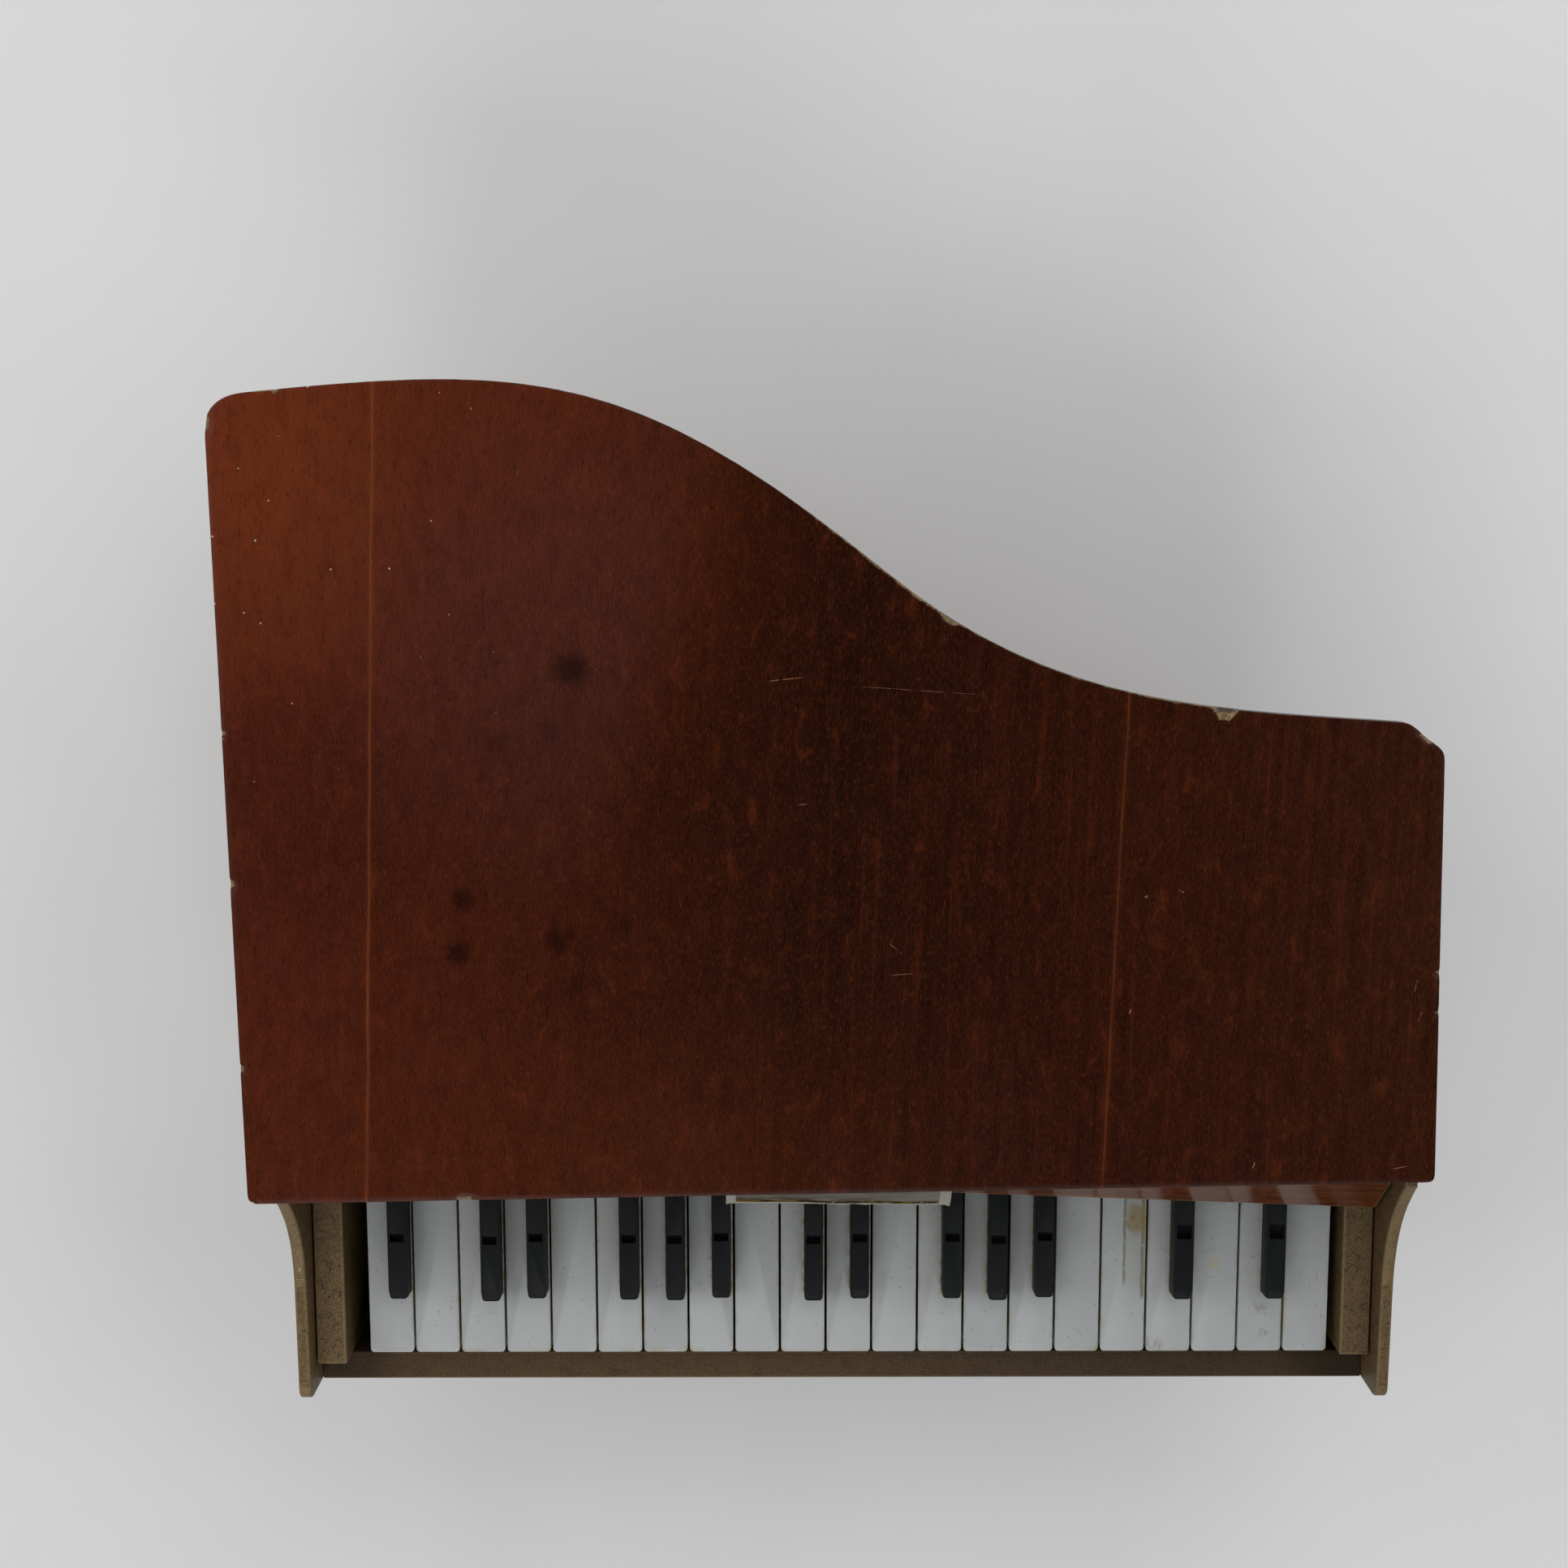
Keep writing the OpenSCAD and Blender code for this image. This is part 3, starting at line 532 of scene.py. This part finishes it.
def raw_wood(name, a, b):
    m = Mat(name, IOR=1.45)
    ring = m.noise((0.05, 0.9, 0.9), 4, 0.6, 0.4)
    base = m.ramp(ring, (0.32, a), (0.66, b))
    pore = m.step(m.noise((0.35, 6, 6), 2), 0.62, 0.72)
    base = m.mix(m.mul(pore, 0.4), base, srgb(96, 66, 38))
    base = m.mix(m.mul(m.step(m.noise(0.15, 3), 0.55, 0.75), 0.35), base, srgb(120, 92, 62))
    m.set(Base_Color=base, Roughness=m.math("MULTIPLY_ADD", ring, 0.2, 0.62))
    m.bump(m.add(m.mul(ring, 0.5), m.mul(pore, -0.5)), 0.05, 0.6)
    return m.m


def raw_board():
    """Unpainted hardboard: fine brown fibre mass with a mesh-printed back."""
    m = Mat("raw_board", IOR=1.45)
    f = m.noise(1.8, 5, 0.75)
    base = m.ramp(f, (0.3, srgb(86, 60, 38)), (0.55, srgb(124, 92, 60)), (0.78, srgb(152, 120, 84)))
    base = m.mix(m.mul(m.step(m.noise(0.06, 3), 0.45, 0.7), 0.4), base, srgb(84, 62, 44))
    net = m.mul(m.math("SINE", m.mul(m.x, 4.2)), m.math("SINE", m.mul(m.y, 4.2)))
    base = m.mix(m.mul(m.step(net, 0.2, 0.8), 0.18), base, srgb(70, 50, 34))
    m.set(Base_Color=base, Roughness=m.math("MULTIPLY_ADD", f, 0.15, 0.7))
    m.bump(m.add(m.mul(f, 0.6), m.mul(net, 0.2)), 0.08, 0.7)
    return m.m


def felt(name, a, b):
    m = Mat(name, IOR=1.4, Sheen_Weight=0.5, Sheen_Roughness=0.5, Specular_IOR_Level=0.1)
    f = m.noise(3.2, 5, 0.8)
    hair = m.step(m.cells((2.2, 0.9, 2.2), "DISTANCE_TO_EDGE",
                          src=m.vec("ADD", m.p, m.wobble(0.8)))["Distance"], 0.06, 0.01)
    m.set(Base_Color=m.mix(m.mul(hair, 0.35), m.ramp(f, (0.3, a), (0.7, b)), (0.35, 0.33, 0.3)))
    m.set(Roughness=m.math("MULTIPLY_ADD", f, 0.1, 0.85))
    m.bump(m.add(f, m.mul(hair, 0.4)), 0.18, 0.9)
    return m.m


def metal(name, a, b, rough=0.3, axis=(0.08, 5, 5), rust=0.0):
    """Rolled or drawn metal with fine lines, fingerprints and some tarnish."""
    m = Mat(name, Metallic=1.0)
    g = m.noise(axis, 4, 0.6)
    base = m.ramp(g, (0.3, a), (0.7, b))
    blot = m.noise(0.18, 4, 0.65)
    base = m.mix(m.mul(m.step(blot, 0.5, 0.72), 0.45), base, tuple(0.45 * c for c in a))
    if rust:
        r = m.step(m.noise(0.35, 5, 0.7, loc=(6, 1, 4)), 0.62, 0.72)
        base = m.mix(m.mul(r, rust), base, srgb(118, 66, 34))
    m.set(Base_Color=base)
    m.set(Roughness=m.add(m.math("MULTIPLY_ADD", g, 0.18, rough - 0.08),
                          m.mul(m.step(blot, 0.5, 0.72), 0.12)))
    m.bump(g, 0.01, 0.5)
    return m.m


def plain_plastic(name, a, b):
    m = Mat(name, IOR=1.49)
    m.set(Base_Color=m.ramp(m.noise(0.3, 4, 0.6), (0.3, a), (0.7, b)))
    m.set(Roughness=m.math("MULTIPLY_ADD", m.noise(0.9, 3), 0.2, 0.38))
    m.bump(m.noise(2.4, 4), 0.03, 0.5)
    return m.m


def label_paper():
    """Blank label: white borders round two faded grey fields, stains at the lifted lower edge."""
    m = Mat("label_paper", IOR=1.4, Specular_IOR_Level=0.15)
    u, v = m.attr("u"), m.attr("v")          # mm from the bass end and from the lower edge
    wob = m.math("MULTIPLY_ADD", m.noise(0.5, 3), 0.5, -0.25)
    paper = m.ramp(m.noise(1.2, 4, 0.6), (0.3, srgb(196, 194, 182)), (0.7, srgb(216, 214, 204)))
    sides = m.mul(m.step(u, 1.9, 2.1), m.step(u, 43.8, 43.6))
    fields = m.most(m.mul(m.step(v, 1.35, 1.5), m.step(v, 5.3, 5.2)),
                    m.mul(m.step(v, 6.5, 6.6), m.step(v, 12.6, 12.5)))
    wood = m.noise((0.10, 2.2, 2.2), 4, 0.6)
    grey = m.ramp(wood, (0.3, srgb(112, 101, 90)), (0.5, srgb(148, 140, 130)), (0.72, srgb(168, 163, 153)))
    grey = m.mix(m.mul(m.step(u, 30, 41), 0.4), grey, srgb(176, 174, 167))
    brown = m.mul(m.step(m.add(v, wob), 4.6, 1.6),
                  m.step(m.noise((0.16, 0.4, 0.4), 3, 0.6, loc=(8, 0, 0)), 0.40, 0.62))
    grey = m.mix(m.mul(brown, m.step(u, 52, 10), 0.85), grey, srgb(66, 48, 32))
    base = m.mix(m.mul(sides, fields, 0.95), paper, grey)
    ink = m.mul(sides, m.step(m.math("ABSOLUTE", m.add(v, -5.35)), 0.16, 0.06))
    base = m.mix(m.mul(ink, 0.85), base, srgb(44, 38, 32))
    low = m.mul(m.step(m.math("ABSOLUTE", m.add(v, -1.2, wob)), 0.75, 0.35), sides)
    tone = m.ramp(m.noise(0.5, 2, loc=(3, 1, 0)), (0.42, srgb(66, 44, 14)), (0.62, srgb(136, 112, 42)))
    base = m.mix(m.mul(low, m.step(m.noise(0.8, 3), 0.24, 0.42)), base, tone)
    m.set(Base_Color=base, Roughness=m.math("MULTIPLY_ADD", wood, 0.1, 0.7))
    m.bump(m.noise(1.5, 4, 0.6), 0.05, 0.5)
    return m.m


# ---------------------------------------------------------------- mesh tools
def finish_piece(bm, name, material, body, replaces=(), sharp=40):
    """Mesh to object: smooth faces with sharp corners kept, material and body."""
    bm.normal_update()
    for f in bm.faces:
        f.smooth = True
    for e in bm.edges:
        e.smooth = len(e.link_faces) == 2 and e.calc_face_angle(0) < math.radians(sharp)
    me = bpy.data.meshes.new(name)
    bm.to_mesh(me)
    bm.free()
    ob = bpy.data.objects.new(name, me)
    scene.collection.objects.link(ob)
    me.materials.append(material)
    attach(ob, body)
    if replaces:
        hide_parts(*replaces)
    return ob


def node_bmesh(node):
    """Clean copy of a CAD node's mesh, with flat faces joined."""
    src = frame["nodes"][node]
    bm = bmesh.new()
    bm.from_mesh(src.data)
    bm.transform(src.matrix_world)
    bmesh.ops.remove_doubles(bm, verts=bm.verts, dist=2e-6)
    bmesh.ops.dissolve_limit(bm, angle_limit=math.radians(0.6), verts=bm.verts, edges=bm.edges)
    return bm


def worn_copy(node, material, body, width=0.35, wander=0.5, seed=0, rim=0.5, nose=0):
    """The CAD node with rounded, slightly uneven edges; the attribute wear is 1 on them.

    nose is an extra rounding of the two upright front edges.
    """
    bm = node_bmesh(node)
    if nose:
        front = min(v.co.y for v in bm.verts)
        upright = [e for e in bm.edges if max(v.co.y for v in e.verts) < front + 1.7 * MM
                   and abs(e.verts[0].co.x - e.verts[1].co.x) < 1e-6 and len(e.link_faces) == 2
                   and e.calc_face_angle(0) > 1.2]
        bmesh.ops.bevel(bm, geom=upright, offset=nose * MM, segments=3, profile=0.5, affect="EDGES")
    wear = bm.verts.layers.float.new("wear")
    edges = [e for e in bm.edges if len(e.link_faces) == 2 and e.calc_face_angle(0) > math.radians(35)]
    done = bmesh.ops.bevel(bm, geom=edges, offset=width * MM, segments=3, profile=0.5, affect="EDGES",
                           clamp_overlap=True)
    rounded = set(done["faces"])
    for f in rounded:
        for v in f.verts:
            v[wear] = 1 if rim else 0
    if rim:
        flat = [f for f in bm.faces if f not in rounded and 2 * f.calc_area() / f.calc_perimeter() > 1.1 * MM]
        bmesh.ops.inset_individual(bm, faces=flat, thickness=rim * MM, use_even_offset=False)
        for f in flat:
            for v in f.verts:
                v[wear] = 0
    if wander:
        for v in bm.verts:
            if v[wear] > 0.5:
                p = v.co * 1000
                k = noise.noise(Vector((p.x * 0.25 + seed, p.y * 0.25, p.z * 0.25)))
                v.co -= v.normal * (0.12 * wander * max(0, k)) * MM if v.normal.length else Vector()
    return finish_piece(bm, node + "_look", material, body, (node,))


# ---------------------------------------------------------------- materials of the pieces
M_LID = lid_veneer()
M_BOARD = painted_board("bronze_board", srgb(108, 88, 60), srgb(70, 54, 36), srgb(144, 120, 82), edge=0.28,
                        shade=arm_marks_and_painted_shade)
M_SLIP = painted_board("slip_board", srgb(78, 61, 39), srgb(44, 34, 22), srgb(116, 94, 62), rough=0.55,
                       edge=0.2, scale=1.2, fibres=0.4, shade=slip_darkening_and_painted_shade)
M_WHITE = [white_plastic("white_plastic_" + k, k, s)
           for s, k in enumerate(("plain", "black", "lost"))]
M_BLACK = black_plastic()
M_FALL = lacquer("fallboard_lacquer", srgb(58, 27, 12), srgb(104, 54, 26))
M_LEG = lacquer("leg_lacquer", srgb(52, 22, 13), srgb(84, 36, 20), rough=0.2, grain_axis="z")
M_RAW = raw_wood("raw_wood", srgb(182, 146, 102), srgb(206, 174, 130))
M_HARD = raw_board()
M_LABEL = label_paper()
M_STEEL = metal("plate_steel", (0.42, 0.43, 0.45), (0.62, 0.63, 0.65), 0.28, (5, 0.08, 5), 0.5)
M_ROD = metal("rod_steel", (0.40, 0.40, 0.41), (0.58, 0.58, 0.58), 0.3)
M_SPRING = metal("spring_steel", (0.26, 0.27, 0.30), (0.42, 0.43, 0.46), 0.35)
M_PIN = metal("pin_steel", (0.45, 0.44, 0.42), (0.6, 0.6, 0.58), 0.35, (3, 3, 3), 0.35)
M_BRASS = metal("screw_brass", (0.55, 0.40, 0.17), (0.76, 0.58, 0.28), 0.32, (4, 4, 0.6))
M_GREEN = felt("green_felt", srgb(34, 66, 44), srgb(58, 96, 66))
M_RED = felt("red_felt", srgb(104, 24, 24), srgb(142, 42, 38))
M_COMB = plain_plastic("comb_plastic", srgb(186, 180, 160), srgb(206, 202, 184))


# ---------------------------------------------------------------- pieces
def lid():
    """Lid board with a rounded, rubbed and chipped rim, from the CAD outline."""
    src = node_bmesh("lid")
    top = max((f for f in src.faces if f.normal.z > 0.9), key=lambda f: f.calc_area())
    loop = [v.co.copy() * 1000 for v in top.verts]
    src.free()
    z0, z1 = box("lid")[0].z, box("lid")[1].z
    pts = []
    for a, b in zip(loop, loop[1:] + loop[:1]):
        n = max(1, int((b - a).length / RIM_STEP))
        pts += [a.lerp(b, i / n) for i in range(n)]
    n = len(pts)
    # smooth the outline a little, so that the facets of its curves vanish
    for _ in range(3):
        pts = [(pts[i - 1] + pts[i] * 2 + pts[(i + 1) % n]) / 4 for i in range(n)]
    turn = 1 if sum(pts[i - 1].x * pts[i].y - pts[i].x * pts[i - 1].y for i in range(n)) > 0 else -1
    inward = []
    for i in range(n):
        t = (pts[(i + 1) % n] - pts[i - 1]).normalized()
        inward.append(Vector((-t.y, t.x, 0)) * turn)
    # largest inset at each point before rings would cross near a corner
    room = []
    for i in range(n):
        near = [(pts[(i + k) % n] - pts[i]) for k in range(-14, 15) if k]
        room.append(min([0.8 * d.length_squared / (2 * d.dot(inward[i])) for d in near
                         if d.dot(inward[i]) > 1e-4] + [9]))
    # chips: x, y in case coordinates, reach along the edge, depth inwards, drop
    chips = ((19.4, 164.9, 1.6, 0.9, 0.3), (72.5, 147.0, 2.3, 2.6, 0.12), (112.6, 143.2, 3.0, 0.5, 0.4),
             (-120.8, 142.9, 0.9, 0.5, 0.4), (-120.2, 113.6, 1.4, 0.5, 0.4), (-121.3, 201.5, 1.6, 0.4, 0.3),
             (-75.7, 50.2, 1.9, 0.4, 0.3), (116.6, 95.5, 1.5, 0.4, 0.5), (116.4, 88.0, 1.2, 0.3, 0.3),
             (-108, 208.7, 1.0, 0.4, 0.3), (-14, 186.8, 0.8, 0.3, 0.3), (44, 154.0, 0.9, 0.3, 0.3),
             (-119, 77, 0.9, 0.3, 0.3), (-117.9, 49.6, 0.9, 0.4, 0.5))
    bm = bmesh.new()
    wear = bm.verts.layers.float.new("wear")
    rings = []
    for inset, height, w in ((0.5, 0, 0), (0.12, 0, 0.5), (0, 0.14, 0.3), (0.0, 0.5, 0.2), (0.0, 0.80, 0.3),
                             (0.06, 0.92, 0.9), (0.3, 0.98, 1), (1, 1, 0.8), (1.5, 1, 0.3), (3.2, 1, 0)):
        ring = []
        for i, p in enumerate(pts):
            q = p - Vector((OX, OY, 0))
            # the front edge is hardly rubbed, the bent edge most
            use = 0.35 if q.y < LID_FRONT + 4 else (0.62 if abs(q.x) > 112 else 0.95)
            use *= 0.9 + 0.5 * noise.noise(Vector((q.x * 0.05, q.y * 0.05, 7.7)))
            r = 0.22 + 0.10 * max(-0.6, noise.noise(Vector((q.x * 0.09, q.y * 0.09, 1.3)))) + \
                0.06 * noise.noise(Vector((q.x * 0.7, q.y * 0.7, 4.1)))
            cut = drop = 0.0
            for cx, cy, reach, deep, down in chips:
                d = math.hypot(q.x - cx, q.y - cy) / reach
                if d < 1:
                    k = (1 - d * d) * (0.75 + 0.5 * noise.noise(Vector((q.x * 1.7, q.y * 1.7, 2.2))))
                    cut, drop = max(cut, deep * k), max(drop, down * k)
            if height > 0.75:
                off = inset * r if inset <= 1 else inset
                if inset < 3:
                    off += cut * (0.45 if height < 0.95 else 1.0)
                z = z1 - (1 - height) * r * 8 if height < 1 else z1
                z -= drop * (1.0 if inset < 1 else (0.35 if inset <= 1 else 0))
            else:
                off = inset
                z = z0 + height * (z1 - z0)
            c = p + inward[i] * min(off, room[i] * (0.6 + 0.12 * inset))
            v = bm.verts.new((c.x * MM, c.y * MM, z * MM))
            v[wear] = min(1, w * use + (0.75 if cut > 0.12 and 0.9 < height and inset <= 1 else 0))
            ring.append(v)
        rings.append(ring)
    for a, b in zip(rings, rings[1:]):
        for i in range(n):
            j = (i + 1) % n
            bm.faces.new((a[i], a[j], b[j], b[i]))
    for ring in (rings[0], rings[-1]):
        edges = [bm.edges.get((ring[i - 1], ring[i])) for i in range(n)]
        bmesh.ops.triangle_fill(bm, use_beauty=True, edges=edges)
    bmesh.ops.recalc_face_normals(bm, faces=bm.faces)
    return finish_piece(bm, "lid_look", M_LID, "case", ("lid",), sharp=60)


def label():
    """Blank paper label glued to the fallboard by its upper part; the lower part hangs forward."""
    nu, nv, w, h = 92, 26, LABEL_W, LABEL_H
    bm = bmesh.new()
    lu, lv = bm.verts.layers.float.new("u"), bm.verts.layers.float.new("v")
    turn = Matrix.Rotation(FALL_SKEW, 3, "Z")
    grid = []
    for j in range(nv + 1):
        row = []
        for i in range(nu + 1):
            u, s = w * i / nu, h * (j / nv) ** 1.3
            nz = noise.noise(Vector((u * 0.09, s * 0.2, 0.7)))
            tear = (0.3 * noise.noise(Vector((u * 1.1, 3.0, 0.2)))
                    + 0.3 * noise.noise(Vector((u * 0.4, 9.0, 0.2))))
            t = min(1, max(0, (9.5 - s) / 6.5))
            peel = t * t * (3 - 2 * t)
            lift = 0.12 + peel * (LABEL_LIFT + 0.25 * nz + 1.3 * (1 - u / w))
            lift += 0.25 * max(0, 1 - min(u, w - u) / 2.0) ** 2 * (1 - j / nv)
            along = 1.0 + s + tear * (1 if j == 0 else 0.35 if j == 1 else 0)
            p = Vector((u - LABEL_X, along * math.sin(FALL_LEAN) - lift * math.cos(FALL_LEAN), 0))
            z = FALL_Z + along * math.cos(FALL_LEAN) + lift * math.sin(FALL_LEAN)
            q = turn @ p
            v = bm.verts.new(case_pt(q.x, q.y + FALL_Y, z))
            v[lu], v[lv] = u, s
            row.append(v)
        grid.append(row)
    for a, b in zip(grid, grid[1:]):
        for i in range(nu):
            bm.faces.new((a[i], a[i + 1], b[i + 1], b[i]))
    bmesh.ops.solidify(bm, geom=bm.faces[:], thickness=LABEL_T * MM)
    bmesh.ops.recalc_face_normals(bm, faces=bm.faces)
    return finish_piece(bm, "fallboard_label_look", M_LABEL, "case", ("fallboard_label",))


lid()
label()
for i, nm in enumerate(("side_left", "side_right", "bent_side", "key_block_left", "key_block_right")):
    worn_copy(nm, M_BOARD, "case", 0.4, seed=i * 7)
worn_copy("key_slip", M_SLIP, "case", 0.35, seed=50)
worn_copy("bottom_board", M_HARD, "case", 0.3, rim=0, wander=0)
worn_copy("fallboard", M_FALL, "case", 0.45, wander=0.3)
for nm in ("leg_front_left", "leg_front_right", "leg_tail"):
    finish_piece(node_bmesh(nm), nm + "_look", M_LEG, "case", (nm,), sharp=50)

bodies = frame["record"]["behaviour"]["bodies"]
for body, nodes in bodies.items():
    for nm in nodes:
        if nm.startswith("white_key"):
            i = int(nm[-2:]) - 1
            kind = 1 if len(nodes) > 1 else (2 if i == LOST_KEY else 0)
            worn_copy(nm, M_WHITE[kind], body, 0.42, wander=0, rim=0)
        elif nm.startswith("black_key"):
            worn_copy(nm, M_BLACK, body, 0.28, wander=0, rim=0, nose=0.7)

# hidden pieces keep their CAD meshes and get a material only
for nm, m in (("lid_battens", M_RAW), ("key_rails", M_RAW), ("tone_rails", M_RAW), ("glue_blocks", M_RAW),
              ("key_felts", M_GREEN), ("tone_felts", M_RED), ("pivot_comb", M_COMB), ("pivot_rod", M_ROD),
              ("return_springs", M_SPRING), ("tone_plates", M_STEEL), ("tone_pins", M_PIN),
              ("leg_studs", M_ROD), ("base_screws", M_BRASS)):
    ob = frame["nodes"][nm]
    for s in ob.material_slots:
        s.material = m

# ---------------------------------------------------------------- stage and light
FLOOR_HALF = 3.0                        # metres
M_FLOOR = Mat("floor", IOR=1.45, Specular_IOR_Level=0.2)
M_FLOOR.set(Base_Color=M_FLOOR.ramp(M_FLOOR.noise(0.01, 3), (0.3, (0.80, 0.80, 0.805)),
                                    (0.7, (0.84, 0.84, 0.845))),
            Roughness=0.85)
bm = bmesh.new()
bmesh.ops.create_grid(bm, x_segments=8, y_segments=8, size=FLOOR_HALF)
me = bpy.data.meshes.new("floor")
bm.to_mesh(me)
bm.free()
floor = bpy.data.objects.new("floor", me)
scene.collection.objects.link(floor)
me.materials.append(M_FLOOR.m)

world = bpy.data.worlds.new("studio")
scene.world = world
world.use_nodes = True
world.node_tree.nodes["Background"].inputs[0].default_value = (0.93, 0.96, 1.0, 1)
world.node_tree.nodes["Background"].inputs[1].default_value = 0.085


def softbox(name, pos, target, size, watts, colour=(1, 1, 1)):
    """Square area light aimed at a point; pos and target in mm in case coordinates."""
    li = bpy.data.lights.new(name, "AREA")
    li.shape, li.size, li.energy, li.color = "SQUARE", size * MM, watts, colour
    ob = bpy.data.objects.new(name, li)
    scene.collection.objects.link(ob)
    ob.location = case_pt(*pos)
    ob.rotation_euler = (case_pt(*target) - ob.location).to_track_quat("-Z", "Y").to_euler()


softbox("front", (-100, -1250, 1150), (0, 40, 60), 1400, 13.5)
softbox("left", (-1150, 350, 1000), (0, 80, 60), 1400, 8.2, (1.0, 0.99, 0.97))
softbox("right", (1150, 450, 1000), (0, 80, 60), 1200, 5.6, (0.98, 0.99, 1.0))
softbox("rear", (150, 1350, 850), (0, 350, 0), 1300, 9.5)
